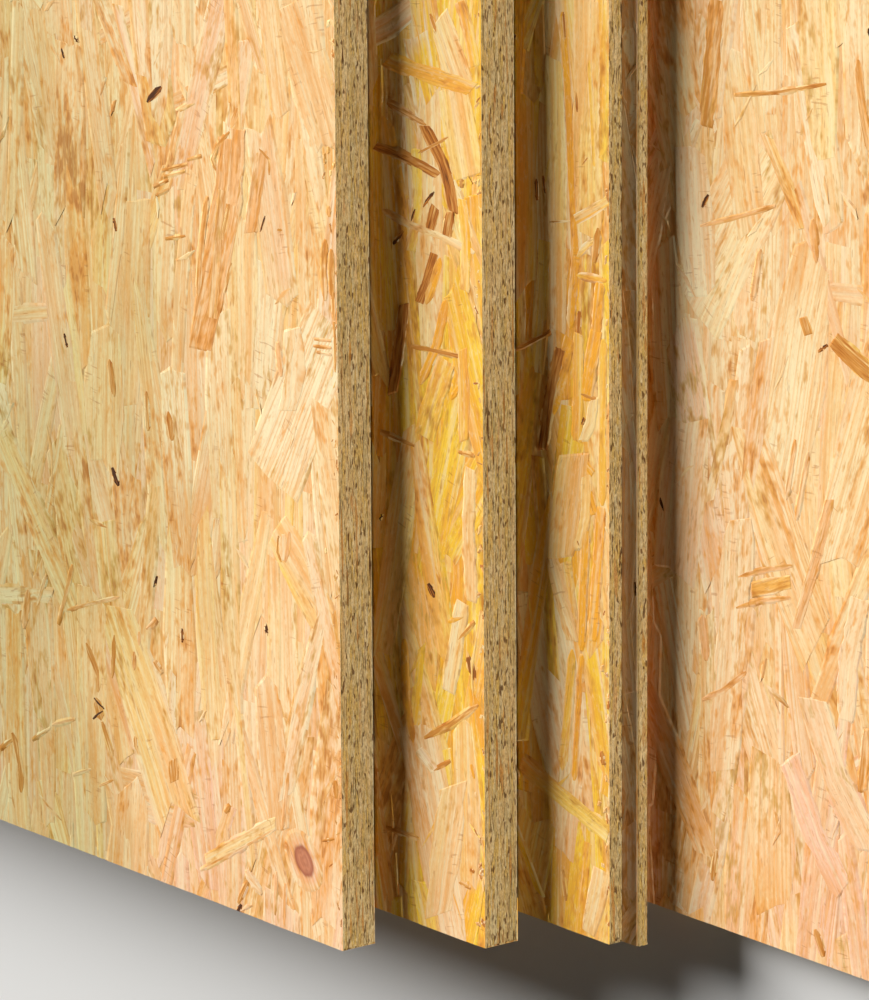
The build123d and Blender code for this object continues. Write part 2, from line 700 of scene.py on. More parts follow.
def lay_specks(surface, look, seed):
    """Small torn splinters close along the arris at the front of a face."""
    rng = random.Random(seed)
    for _ in range(int(surface.length / SPECK_PITCH)):
        middle = rng.uniform(0, surface.length), rng.expovariate(1 / SPECK_BAND)
        speck = small_chip(rng, middle, look)
        length, width = rng.uniform(*SPECK_LENGTHS) * MM, rng.uniform(*SPECK_WIDTHS) * MM
        speck.update(
            angle=rng.gauss(0, SPECK_SPREAD),
            bow=0.0,
            half_length=length / 2,
            half_width=width / 2,
            outline=needle_outline(rng, length, width),
            tone=(rng.random(), 0.0, rng.uniform(*SPECK_BROWNS), 0.3),
        )
        lay(surface, speck, level(CHIP_RANKS, rng.random()), slope=CHIP_SLOPE)


def lay_edge(surface, look, seed, layer, mean_length):
    """Covers a sawn edge with the cut ends of strands, row upon row."""
    rng = random.Random(seed)
    rows = max(round(surface.width / layer), 2)
    pitch = surface.width / rows
    for row in range(rows):
        outer = abs((row + 0.5) / rows - 0.5) > OUTER_LAYERS
        column = 0
        s = -rng.uniform(0, mean_length)
        while s < surface.length:
            length = rng.triangular(*END_LENGTHS) * mean_length * (LONGER_OUTSIDE if outer else 1.0)
            half, side = length / 2, pitch * rng.uniform(*END_WIDTHS)
            skew = rng.uniform(-0.3, 0.3) * half
            luck = rng.random()
            sunk = (row % EDGE_REPEAT * EDGE_REPEAT + column % EDGE_REPEAT) * EDGE_STEP
            column += 1
            brown = 0.0
            if luck < DARK_ENDS:
                brown, sunk = rng.uniform(*DARK_END_BROWNS), sunk + DEEPER * EDGE_STEP
            elif luck < DARK_ENDS + BROWN_ENDS:
                brown = rng.uniform(*BROWN_END_BROWNS)
            strand = {
                "middle": (s + half, (row + 0.5 + rng.uniform(-0.2, 0.2)) * pitch),
                "angle": rng.gauss(0, END_SPREAD),
                "bow": 0.0,
                "half_length": half,
                "half_width": side,
                "outline": [(-half, 0.0), (skew, -side), (half, 0.2 * side), (-skew, side)],
                "tone": (rng.random(), rng.random(), brown, look["gold"]),
                "figure": rng.random(),
                "seed": rng.uniform(*SEEDS),
            }
            lay(surface, strand, -EDGE_RECESS - sunk, -2 * CORE_INSET, 0.0)
            s += length * rng.uniform(0.55, 0.8)


class Shader:
    """A material's node tree, with short ways to add nodes and join them."""

    def __init__(self, name):
        self.material = bpy.data.materials.new(name)
        self.material.use_nodes = True
        self.tree = self.material.node_tree
        self.surface = self.tree.nodes["Principled BSDF"]
        self.place = self.node("TexCoord").outputs["Object"]
        self.grain = self.attribute("grain").outputs["Vector"]
        self.tone = self.attribute("tone")
        self.colour = None

    def node(self, kind, inputs=None, **settings):
        made = self.tree.nodes.new("ShaderNode" + kind)
        for name, value in settings.items():
            setattr(made, name, value)
        for name, value in (inputs or {}).items():
            self.feed(made.inputs[name], value)
        return made

    def feed(self, socket, value):
        if isinstance(value, bpy.types.NodeSocket):
            self.tree.links.new(value, socket)
        else:
            socket.default_value = value

    def attribute(self, name):
        return self.node("Attribute", attribute_name=name)

    def math(self, operation, first, second=0.0):
        return self.node("Math", {0: first, 1: second}, operation=operation).outputs[0]

    def vector_math(self, operation, first, second):
        return self.node("VectorMath", {0: first, 1: second}, operation=operation).outputs[0]

    def split(self, vector):
        return list(self.node("SeparateXYZ", {0: vector}).outputs)

    def noise(self, vector, scale, detail=2.0, roughness=0.5):
        """Noise on a vector whose three directions have their own scales, in repeats a metre."""
        stretched = self.vector_math("MULTIPLY", vector, scale)
        inputs = {"Vector": stretched, "Scale": 1.0, "Detail": detail, "Roughness": roughness}
        return self.node("TexNoise", inputs).outputs["Fac"]

    def between(self, value, low, high, to_low=0.0, to_high=1.0):
        """A smooth step of value from low to high."""
        inputs = {
            "Value": value,
            "From Min": low,
            "From Max": high,
            "To Min": to_low,
            "To Max": to_high,
        }
        made = self.node("MapRange", inputs, interpolation_type="SMOOTHSTEP")
        return made.outputs["Result"]

    def mix(self, share, first, second, blend="MIX"):
        made = self.node("Mix", data_type="RGBA", blend_type=blend)
        self.feed(made.inputs["Factor"], share)
        for name, value in (("A", first), ("B", second)):
            socket = [i for i in made.inputs if i.name == name and i.type == "RGBA"][0]
            self.feed(socket, value if isinstance(value, bpy.types.NodeSocket) else (*value, 1))
        return [o for o in made.outputs if o.type == "RGBA"][0]

    def mix_values(self, part, first, second):
        """A number that is first where part is 0 and second where it is 1."""
        return self.math("ADD", first, self.times(self.math("SUBTRACT", second, first), part))

    def times(self, *factors):
        product = factors[0]
        for factor in factors[1:]:
            product = self.math("MULTIPLY", product, factor)
        return product

    def total(self, first, *others):
        for other in others:
            first = self.math("ADD", first, other)
        return first

    def centred(self, noise, middle=0.5):
        return self.math("SUBTRACT", noise, middle)

    def paint(self, share, tint):
        """Lays a tint over the colour so far, by a share from 0 to 1."""
        self.colour = self.mix(share, self.colour, tint)

    def lighten(self, factor):
        """Makes the colour so far lighter or darker."""
        grey = self.node("CombineXYZ", {0: factor, 1: factor, 2: factor}).outputs[0]
        self.colour = self.mix(1.0, self.colour, grey, "MULTIPLY")

    def finish(self, roughness, gloss, height):
        """Joins the colour to the surface, with relief from a height in metres."""
        self.feed(self.surface.inputs["Base Color"], self.colour)
        self.surface.inputs["Roughness"].default_value = roughness
        self.surface.inputs["Specular IOR Level"].default_value = gloss
        relief = self.node("Bump", {"Height": height, "Distance": 1.0, "Strength": 1.0})
        self.tree.links.new(relief.outputs[0], self.surface.inputs["Normal"])
        return self.material


# Colours of the wood, linear
PALE = (0.99, 0.83, 0.50)
CREAM = (0.94, 0.63, 0.26)
GOLDEN = (0.99, 0.62, 0.04)
AMBER_GOLD = (0.97, 0.43, 0.02)
COPPER = (0.62, 0.23, 0.03)
PINK = (0.94, 0.55, 0.35)
ORANGE = (0.84, 0.33, 0.05)
RUST = (0.46, 0.13, 0.014)
DARK = (0.07, 0.022, 0.006)
OLIVE_BROWN = (0.60, 0.31, 0.04)
KNOT_LIGHT = (0.58, 0.20, 0.10)
KNOT_DARK = (0.30, 0.065, 0.035)
SHADE_AND_PATCH_TINT = (0.57, 0.67, 0.55)  # painted shade, darker and greener where the camera looks, and weaker patches of the same tint elsewhere
PAINTED_SHADE_CENTRE = (-1.20, -0.21)  # of the patch of painted shade that the camera looks at
# how far the patch of painted shade reaches
PAINTED_SHADE_REACH = (0.75, 0.21)
PINKER_END = (-0.98, -1.24)  # along the boards, the wood turns pinker between these

# How far a strand's own tone reaches towards its rim
SOFT_RIM = 4.5 * MM  # at most, or half of the strand's half width
DRAWN_RIM = 1.0 * MM
END_SLANT = 0.3  # the share of the way from an end that counts as way from a side
HEARTWOOD = 0.50  # where a knot's bark ring lies, as a share of the stained wood's radius


class FaceShader(Shader):
    """Pressed strands, seen flat. Near its rim each strand takes the tone of the wood around it."""

    def __init__(self):
        super().__init__("osb_face")
        self.along, self.across, self.seed = self.split(self.grain)
        span = self.attribute("span").outputs["Vector"]
        self.half_length, self.half_width, figure = self.split(span)
        self.drawn = self.math("GREATER_THAN", figure, 1.0)
        self.knotty = self.math("GREATER_THAN", figure, 2.0)
        self.figure = self.math("FRACT", figure)

        sway = self.times(self.centred(self.noise(self.grain, (8, 30, 3.1), 1.0)), 12 * MM)
        swaying = self.node("CombineXYZ", {0: 0.0, 1: sway, 2: 0.0}).outputs[0]
        self.wavy = self.vector_math("ADD", self.grain, swaying)
        self.ragged = self.centred(self.noise(self.wavy, (25, 260, 1.3), 2.0))
        self.fibres = self.noise(self.wavy, (40, 1000, 5.3), 2.0, 0.6)
        self.streaks = self.noise(self.wavy, (12, 300, 7.7), 2.0, 0.6)
        self.blotches = self.noise(self.grain, (14, 40, 1.9), 2.0)
        self.radius = self.knot_radius()
        self.own = self.inside()
        self.browned = self.brownness()

    def knot_radius(self):
        """How far a point is from the middle of its strand, from 0 to 1 at the rim."""
        up = self.math("DIVIDE", self.along, self.half_length)
        aside = self.math("DIVIDE", self.across, self.half_width)
        radius = self.math("SQRT", self.total(self.times(up, up), self.times(aside, aside)))
        return self.total(radius, self.times(self.ragged, 0.15))

    def inside(self):
        """0 at a strand's rim and 1 inside it, along a ragged line."""
        side_gap = self.math("SUBTRACT", self.half_width, self.math("ABSOLUTE", self.across))
        end_gap = self.math("SUBTRACT", self.half_length, self.math("ABSOLUTE", self.along))
        gap = self.math("MINIMUM", side_gap, self.times(end_gap, END_SLANT))
        soft = self.math("MINIMUM", self.times(self.half_width, 0.5), SOFT_RIM)
        gap = self.total(gap, self.times(self.ragged, soft, 1.6))
        loose = self.between(self.math("DIVIDE", gap, soft), 0.0, 1.0)
        drawn_gap = self.total(side_gap, self.times(self.ragged, 2.5 * MM))
        drawn = self.times(self.between(drawn_gap, 0.0, DRAWN_RIM), self.drawn)
        knot = self.between(self.radius, 1.0, 0.6)
        return self.mix_values(self.knotty, self.math("MAXIMUM", loose, drawn), knot)

    def brownness(self):
        """How brown the strand is here. One drawn from the photograph is mottled."""
        brown = self.split(self.tone.outputs["Color"])[2]
        browned = self.times(brown, self.between(self.own, 0.0, 0.6))
        mottle = self.times(self.centred(self.noise(self.wavy, (70, 700, 8.8), 2.0, 0.6)), 2.6)
        return self.total(browned, self.times(mottle, self.times(browned, self.drawn)))

    def towards_own(self, around, value):
        return self.total(around, self.times(self.math("SUBTRACT", value, around), self.own))

    def paint_wood(self):
        """The plain wood: its shade, its pinkness and its goldenness."""
        own_shade, own_pink, _ = self.split(self.tone.outputs["Color"])
        own_gold = self.tone.outputs["Alpha"]
        wide_shade = self.between(self.noise(self.place, (7, 17, 1), 3.0, 0.6), 0.30, 0.70)
        wide_pink = self.between(self.noise(self.place, (4, 9, 1.7), 2.0), 0.42, 0.75)
        wide_gold = self.between(self.noise(self.place, (6, 22, 2.9), 2.0), 0.33, 0.67)
        near_end = self.between(self.split(self.place)[0], *PINKER_END)
        shade = self.towards_own(wide_shade, own_shade)
        pinker = self.times(near_end, self.mix_values(wide_pink, 0.45, 0.9))
        pink = self.total(self.towards_own(wide_pink, own_pink), pinker)
        gold = self.towards_own(self.times(wide_gold, own_gold, 1.6), own_gold)
        warmth = self.between(self.noise(self.wavy, (11, 60, 3.7), 2.0), 0.42, 0.62)
        warmth = self.math("MAXIMUM", warmth, self.times(own_pink, self.drawn))
        self.colour = self.mix(shade, CREAM, PALE)
        self.paint(self.times(pink, 0.7), PINK)
        self.paint(gold, self.mix(warmth, GOLDEN, AMBER_GOLD))

    def paint_figure(self):
        """Blotches, streaks along the grain, and the growth rings of a flat-cut strand."""
        speckle = self.noise(self.wavy, (280, 620, 5.9), 2.0, 0.7)
        field = self.times(self.noise(self.wavy, (3.0, 95, 2.3), 0.0), 9.0)
        rings = self.between(self.math("FRACT", field), 0.45, 0.97)
        for share, tint in (
            (self.between(self.blotches, 0.50, 0.75, 0.0, 0.5), ORANGE),
            (self.between(speckle, 0.48, 0.75, 0.0, 0.35), ORANGE),
            (self.between(speckle, 0.50, 0.25, 0.0, 0.35), PALE),
            (self.between(self.streaks, 0.48, 0.70, 0.0, 0.34), ORANGE),
            (self.between(self.streaks, 0.52, 0.34, 0.0, 0.40), PALE),
            (self.times(rings, self.figure, 0.6), ORANGE),
        ):
            self.paint(share, tint)

    def paint_stains(self):
        """Smears of resin and bark, darker in their middles, and fine dashes and ticks."""
        loose = self.centred(self.noise(self.wavy, (35, 90, 4.4), 1.0))
        crowding = self.centred(self.noise(self.place, (9, 20, 2.1), 1.0), 0.54)
        smear = self.total(
            self.noise(self.wavy, (120, 300, 9.1), 2.0, 0.6),
            self.times(loose, 0.5),
            self.times(crowding, 0.50),
            self.times(self.browned, 0.30),
            self.times(self.math("SUBTRACT", 1.0, self.own), 0.05),
        )
        smears = self.between(self.fibres, 0.2, 0.6, 0.6, 1.0)
        smears = self.times(self.between(smear, 0.52, 0.72), smears)
        stains = self.between(self.fibres, 0.3, 0.6, 0.5, 1.0)
        stains = self.times(self.between(smear, 0.68, 0.84), stains)
        dashes = self.between(self.noise(self.wavy, (130, 1000, 6.3), 1.0), 0.66, 0.74)
        crossing = self.between(self.noise(self.grain, (800, 110, 4.7), 1.0), 0.62, 0.70)
        few = self.between(self.noise(self.grain, (35, 60, 6.1), 0.0), 0.62, 0.74)
        smear_tint = self.mix(self.between(self.blotches, 0.3, 0.6), OLIVE_BROWN, ORANGE)
        coppery = self.between(self.browned, 0.18, 0.42, 0.0, 0.85)
        for share, tint in (
            (self.times(smears, 0.75), smear_tint),
            (self.times(stains, 0.65), RUST),
            (self.times(dashes, 0.4), RUST),
            (self.times(self.times(crossing, few), 0.4), RUST),
            (self.times(coppery, self.drawn), COPPER),
            (self.between(self.browned, 0.45, 0.6, 0.0, 0.85), RUST),
            (self.between(self.browned, 0.6, 0.9, 0.0, 0.95), DARK),
        ):
            self.paint(share, tint)

    def paint_knot(self):
        """A knot's heart with its rings, and the bark around it."""
        heart = self.times(self.between(self.radius, 0.56, 0.46), self.knotty)
        swirl = self.total(self.times(self.radius, 30.0), self.times(self.ragged, 9.0))
        growth = self.between(self.math("SINE", swirl), -1.0, 1.0, 0.72, 1.0)
        self.paint(self.times(heart, 0.88), self.mix(growth, KNOT_DARK, KNOT_LIGHT))
        off_ring = self.math("ABSOLUTE", self.math("SUBTRACT", self.radius, HEARTWOOD))
        bark_ring = self.times(self.between(off_ring, 0.14, 0.0), self.knotty)
        self.paint(self.times(bark_ring, 0.6), KNOT_DARK)

    def painted_shade_and_patches(self):
        """Painted shade, darker towards the middle of the patch that the camera looks at, and
        weaker patches of the same tint elsewhere.
        """
        squares = []
        for position, centre, reach in zip(self.split(self.place), PAINTED_SHADE_CENTRE, PAINTED_SHADE_REACH):
            offset = self.math("DIVIDE", self.math("SUBTRACT", position, centre), reach)
            squares.append(self.times(offset, offset))
        cloudy = self.times(self.centred(self.noise(self.place, (6, 11, 3.3), 3.0, 0.6)), 1.3)
        away = self.total(self.math("SQRT", self.total(*squares)), cloudy)
        # painted shade: deepest at the middle of the patch that the camera looks at
        here = self.between(away, 1.0, 0.1, 0.0, 0.85)
        others = self.noise(self.place, (1.6, 3.0, 3.3), 2.0)
        elsewhere = self.between(others, 0.48, 0.70, 0.0, 0.30)
        share = self.math("MAXIMUM", here, elsewhere)
        self.colour = self.mix(share, self.colour, SHADE_AND_PATCH_TINT, "MULTIPLY")

    def relief(self):
        """Each strand leans a little its own way, and its fibres stand out."""
        turn = self.node("TexWhiteNoise", {"W": self.seed}, noise_dimensions="1D")
        lean_along, lean_across, _ = self.split(turn.outputs["Color"])
        return self.total(
            self.times(self.centred(lean_along), self.along, 0.02),
            self.times(self.centred(lean_across), self.across, 0.04),
            self.times(self.fibres, 0.05 * MM),
            self.times(self.streaks, 0.06 * MM),
        )


def face_material():
    s = FaceShader()
    s.paint_wood()
    s.paint_figure()
    s.paint_stains()
    s.paint_knot()
    s.lighten(s.between(s.fibres, 0.3, 0.7, 0.93, 1.04))
    s.painted_shade_and_patches()
    return s.finish(roughness=0.75, gloss=0.08, height=s.relief())


# Colours of the sawn edges, linear
TAN = (0.50, 0.32, 0.125)
KHAKI = (0.36, 0.25, 0.09)
STRAW = (0.57, 0.45, 0.24)
OCHRE = (0.48, 0.285, 0.05)
OLIVE = (0.19, 0.13, 0.04)
SPECK = (0.20, 0.08, 0.017)
# the colour of bark in dark strand ends, and painted shade in small voids of the edge
BARK_AND_VOID_SHADE = (0.09, 0.034, 0.007)
AMBER = (0.37, 0.15, 0.022)


def sawn_material():
    """Cut strand ends: rows of tan and khaki with short dark dashes and pale flecks."""
    s = Shader("osb_sawn")
    shade, hue, brown = s.split(s.tone.outputs["Color"])
    rough = s.noise(s.grain, (600, 1100, 5.3), 2.0, 0.7)
    specks = s.between(s.noise(s.grain, (300, 850, 9.1), 1.0), 0.56, 0.68)
    flecks = s.between(s.noise(s.grain, (350, 1000, 3.3), 1.0), 0.55, 0.70)
    patches = s.noise(s.grain, (45, 160, 0.0), 2.0)
    # painted shade: near-black spots that stand for small voids between the cut strands
    painted_void_shade = s.between(s.noise(s.grain, (230, 650, 6.6), 0.0), 0.65, 0.73)
    layers = s.between(s.noise(s.place, (14, 14, 330), 2.0), 0.35, 0.65)
    up = s.math("FRACT", s.math("DIVIDE", s.split(s.place)[2], BOARD_THICKNESS))
    by_face = s.between(s.math("ABSOLUTE", s.centred(up)), 0.43, 0.48)

    s.colour = s.mix(s.mix_values(0.55, shade, layers), KHAKI, TAN)
    for share, tint in (
        (s.between(hue, 0.55, 1.0, 0.0, 0.45), STRAW),
        (s.between(hue, 0.45, 0.0, 0.0, 0.6), OCHRE),
        (s.between(patches, 0.5, 0.7, 0.0, 0.4), AMBER),
        (s.times(flecks, 0.5), STRAW),
        (s.times(by_face, 0.6), STRAW),
        (s.times(specks, 0.65), s.mix(s.between(patches, 0.4, 0.6), OLIVE, SPECK)),
        (s.times(painted_void_shade, 0.85), BARK_AND_VOID_SHADE),
        (s.between(brown, 0.0, 0.5, 0.0, 0.75), AMBER),
        (s.between(brown, 0.5, 0.9), BARK_AND_VOID_SHADE),
    ):
        s.paint(share, tint)
    s.lighten(s.between(rough, 0.25, 0.75, 0.72, 1.2))
    return s.finish(roughness=0.85, gloss=0.15, height=s.times(rough, 0.25 * MM))


def body_front(node):
    """Where a board's upper face begins, behind the tongue if it has one."""
    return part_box(node)[0].y + (TONGUE_LENGTH if node == FLOORING else 0)


def upper_face(node):
    low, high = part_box(node)
    corner = low.x, body_front(node), high.z
    return Surface(corner, (1, 0, 0), (0, 1, 0), high.x - low.x, high.y - corner[1], FACE)


def under_face(node):
    low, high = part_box(node)
    width = high.y - body_front(node)
    return Surface((low.x, high.y, low.z), (1, 0, 0), (0, -1, 0), high.x - low.x, width, FACE)


def side_faces(node):
    """The sawn front, back and two ends, each over the board's whole thickness."""
    low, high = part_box(node)
    long_side, short_side, thick = high - low
    front = Surface((low.x, body_front(node), low.z), (1, 0, 0), (0, 0, 1), long_side, thick, SAWN)
    back = Surface((high.x, high.y, low.z), (-1, 0, 0), (0, 0, 1), long_side, thick, SAWN)
    near = Surface((low.x, high.y, low.z), (0, -1, 0), (0, 0, 1), short_side, thick, SAWN)
    far = Surface((high.x, low.y, low.z), (0, 1, 0), (0, 0, 1), short_side, thick, SAWN)
    return front, back, near, far


def whole(surface, from_top=0.0, from_bottom=0.0):
    """An area over all of a surface, less a strip at its top and one at its bottom."""
    return surface, 0.0, surface.length, from_bottom, surface.width - from_top


def flooring_levels():
    """Heights over the frame's floor that the flooring board's tongue and groove run at."""
    low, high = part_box(FLOORING)
    middle = (low.z + high.z) / 2 - TONGUE_DROP
    nose = TONGUE_NOSE / 2
    root = nose + TONGUE_TAPER
    mouth = root + GROOVE_SIDE_CLEARANCE
    depth = TONGUE_LENGTH + GROOVE_END_CLEARANCE
    floor = mouth - TONGUE_TAPER / TONGUE_LENGTH * depth
    return middle, nose, root, mouth, depth, floor


def core_profile(node):
    """A board's cross-section as points of y and z, a little inside the board's own."""
    low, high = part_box(node)
    inset = CORE_INSET
    back = high.y - inset
    if node != FLOORING:
        return [
            (low.y + inset, low.z + inset),
            (back, low.z + inset),
            (back, high.z - inset),
            (low.y + inset, high.z - inset),
        ]
    middle, nose, root, mouth, depth, floor = flooring_levels()
    front = body_front(node) + inset
    tip = low.y + TONGUE_SKIN
    rounding = []
    for turn in (math.radians(30 * step) for step in range(4)):
        y = tip + TONGUE_ROUNDING * (1 - math.sin(turn))
        rounding.append((y, nose - TONGUE_ROUNDING * (1 - math.cos(turn)) - TONGUE_SKIN))
    return [
        (front, low.z + inset),
        (back, low.z + inset),
        (back, middle - mouth),
        (high.y - depth, middle - floor),
        (high.y - depth, middle + floor),
        (back, middle + mouth),
        (back, high.z - inset),
        (front, high.z - inset),
        (front, middle + root - inset),
        *[(y, middle + z) for y, z in rounding],
        *[(y, middle - z) for y, z in reversed(rounding)],
        (front, middle - root + inset),
    ]


def open_above(node, cover):
    """The areas of a board's upper face that the board above leaves open: its front and far end."""
    surface = upper_face(node)
    front = body_front(cover) - body_front(node) + HIDDEN_MARGIN
    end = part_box(cover)[1].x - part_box(node)[0].x - HIDDEN_MARGIN
    return [
        (surface, 0.0, surface.length, 0.0, front),
        (surface, end, surface.length, front, surface.width),
    ]


def open_below(node, support):
    """The areas of a board's underside that stick out past the board below: back and near end."""
    surface = under_face(node)
    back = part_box(node)[1].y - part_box(support)[1].y + HIDDEN_MARGIN
    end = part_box(support)[0].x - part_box(node)[0].x + HIDDEN_MARGIN
    return [
        (surface, 0.0, surface.length, 0.0, back),
        (surface, 0.0, end, back, surface.width),
    ]


def bands(node, surface, name, count):
    """Splits a whole face into pieces, each a band along the board."""
    step = surface.width / count
    return [
        Piece(f"{node}_{name}_{number + 1}", node, [
            (surface, 0.0, surface.length, number * step, (number + 1) * step)
        ])
        for number in range(count)
    ]


def make_core(node, materials):
    """The inside of a board: one prism along X, a little smaller than the board."""
    low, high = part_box(node)
    profile = core_profile(node)
    count = len(profile)
    points = [
        (x, y, z) for x in (low.x + CORE_INSET, high.x - CORE_INSET) for y, z in profile
    ]
    faces = [list(range(count)), list(range(count, 2 * count))[::-1], *prism_sides(count)]
    grain = [(x + 0.3 * y, y + z, 0.0) for x, y, z in points]
    tone, span = [CORE_TONE] * len(points), [CORE_SPAN] * len(points)
    mesh = make_mesh(node + "_core", points, faces, grain, tone, span)
    for face in mesh.polygons:
        face.material_index = FACE if abs(face.normal.z) > 0.9 else SAWN
    show(mesh, node, materials)


def plain_edges(node, look, seed):
    """The four sawn edges of a board with square edges."""
    sides = side_faces(node)
    lip = CORE_INSET
    areas = [whole(side, lip, lip) for side in sides]
    piece = Piece(node + "_sawn_edges", node, areas)
    for number, side in enumerate(sides):
        lay_edge(side, look, seed + number, **(PLAIN_EDGE if number else SEEN_EDGE))
    return piece


def flooring_edges(look, seed):
    """The sawn edges of the flooring board: shoulders, tongue, the lips of the groove, ends."""
    low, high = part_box(FLOORING)
    middle, nose, root, mouth, depth, _ = flooring_levels()
    lip = CORE_INSET
    front, back, near, far = side_faces(FLOORING)
    lower, upper = middle - low.z, high.z - low.z - lip
    tongue_tip = Surface(low, (1, 0, 0), (0, 0, 1), front.length, front.width, SAWN)
    slope_low = Vector((low.x, low.y + TONGUE_ROUNDING, middle + nose + FLANK_LIFT))
    slope_high = Vector((low.x, body_front(FLOORING), middle + root))
    slope = slope_high - slope_low
    flank = Surface(slope_low, (1, 0, 0), slope, front.length, slope.length, FACE)
    under_low = Vector((low.x, body_front(FLOORING), middle - root))
    under_slope = Vector((0, slope_low.y - under_low.y, middle - nose - FLANK_LIFT - under_low.z))
    under_flank = Surface(under_low, (1, 0, 0), under_slope, front.length, under_slope.length, FACE)
    flat_nose = nose - TONGUE_ROUNDING * 0.7
    areas = [
        (front, 0.0, front.length, lower + root, upper),
        (front, 0.0, front.length, lip, lower - root),
        (tongue_tip, 0.0, front.length, lower - flat_nose, lower + flat_nose),
        whole(flank),
        whole(under_flank),
        (back, 0.0, back.length, lower + mouth + GROOVE_LEAD_IN / 2, upper),
        (back, 0.0, back.length, lip, lower - mouth - GROOVE_LEAD_IN / 2),
    ]
    for end, tongue_from, body_from, body_to, groove_from, groove_to in (
        (far, END_BACK, TONGUE_LENGTH, far.length - depth, far.length - depth, far.length),
        (near, near.length - TONGUE_LENGTH, depth, near.length - TONGUE_LENGTH, 0.0, depth),
    ):
        tongue_to = tongue_from + TONGUE_LENGTH - END_BACK
        areas += [
            (end, body_from, body_to, lip, upper),
            (end, tongue_from, tongue_to, lower - nose + lip / 2, lower + nose - lip / 2),
            (end, groove_from, groove_to, lower + mouth, upper),
            (end, groove_from, groove_to, lip, lower - mouth),
        ]
    piece = Piece(FLOORING + "_sawn_edges", FLOORING, areas)
    for number, side in enumerate((front, tongue_tip)):
        lay_edge(side, look, seed + number, **MILLED_EDGE)
    for number, side in enumerate((back, near, far)):
        lay_edge(side, look, seed + 10 + number, **PLAIN_EDGE)
    lay_face(flank, MILLED_LOOK, seed + 20, pitch_scale=0.55, chips_each=0.3)
    lay_face(under_flank, look, seed + 21, pitch_scale=1.0, chips_each=0.0)
    return piece


FLOOR_COLOUR = (0.68, 0.67, 0.645)
FLOOR_REACH = 60.0
SQUARE = (-1, -1), (1, -1), (1, 1), (-1, 1)
KEY_LAMP = {"azimuth": 22, "elevation": 25.5, "spread": 28, "strength": 7.35}
LOW_FILL = {"azimuth": 195, "elevation": 1.9, "spread": 3.6, "strength": 3.0}
SKY_LIGHT = 0.015  # strength of the light from all round
BACKDROP = 0.74  # brightness of what lies behind the floor


def make_stage():
    """A wide pale floor under the stack, and soft light from behind and above."""
    mesh = bpy.data.meshes.new("floor")
    corners = [(x * FLOOR_REACH, y * FLOOR_REACH, 0) for x, y in SQUARE]
    mesh.from_pydata(corners, [], [[0, 1, 2, 3]])
    floor = bpy.data.objects.new("floor", mesh)
    bpy.context.scene.collection.objects.link(floor)
    paint = bpy.data.materials.new("floor_paint")
    paint.use_nodes = True
    surface = paint.node_tree.nodes["Principled BSDF"]
    surface.inputs["Base Color"].default_value = (*FLOOR_COLOUR, 1)
    surface.inputs["Roughness"].default_value = 0.9
    mesh.materials.append(paint)

    add_sun("key", **KEY_LAMP)
    add_sun("low_fill", **LOW_FILL)

    world = bpy.data.worlds.new("sky")
    bpy.context.scene.world = world
    world.use_nodes = True
    nodes, links = world.node_tree.nodes, world.node_tree.links
    seen = nodes.new("ShaderNodeLightPath").outputs["Is Camera Ray"]
    strength = nodes.new("ShaderNodeMapRange")
    links.new(seen, strength.inputs["Value"])
    strength.inputs["To Min"].default_value = SKY_LIGHT
    strength.inputs["To Max"].default_value = BACKDROP
    links.new(strength.outputs["Result"], nodes["Background"].inputs["Strength"])
    nodes["Background"].inputs["Color"].default_value = (1, 1, 1, 1)
    bpy.context.scene.view_settings.view_transform = "Standard"


def add_sun(name, azimuth, elevation, spread, strength):
    """A soft lamp far away, at an azimuth from +Y towards +X."""
    turn, rise = math.radians(azimuth), math.radians(elevation)
    towards = Vector((
        math.sin(turn) * math.cos(rise),
        math.cos(turn) * math.cos(rise),
        math.sin(rise),
    ))
    data = bpy.data.lights.new(name, "SUN")
    data.angle = math.radians(spread)
    data.energy = strength
    lamp = bpy.data.objects.new(name, data)
    lamp.rotation_mode = "QUATERNION"
    lamp.rotation_quaternion = towards.to_track_quat("Z", "Y")
    bpy.context.scene.collection.objects.link(lamp)


# Tones of single strands: shade, pinkness, brownness, goldenness
BLACKISH = (0.2, 0.1, 1.0, 0.1)
BROWN = (0.3, 0.2, 0.52, 0.3)
SIENNA = (0.4, 0.3, 0.40, 0.5)
TAWNY = (0.3, 0.5, 0.37, 0.4)
PEACH = (0.4, 1.0, 0.24, 0.36)
APRICOT = (0.4, 1.0, 0.29, 0.55)
AMBERY = (0.4, 0.2, 0.25, 0.7)
YELLOW = (0.6, 0.0, 0.05, 0.9)
SOFT_GOLD = (0.6, 0.1, 0.08, 0.35)
GOLD_STREAK = (0.5, 0.45, 0.08, 0.9)
ORANGE_STREAK = (0.4, 1.0, 0.16, 1.0)
OLIVE_STRAND = (0.2, 0.0, 0.16, 0.75)
RUSTY = (0.3, 0.2, 0.72, 0.3)
SMOKY = (0.2, 0.0, 0.85, 0.3)
CREAMY = (0.8, 0.1, 0.0, 0.36)
BUTTERY = (0.75, 0.1, 0.0, 0.6)
MILKY = (0.85, 0.25, 0.0, 0.1)
ROSY = (0.7, 1.0, 0.0, 0.0)

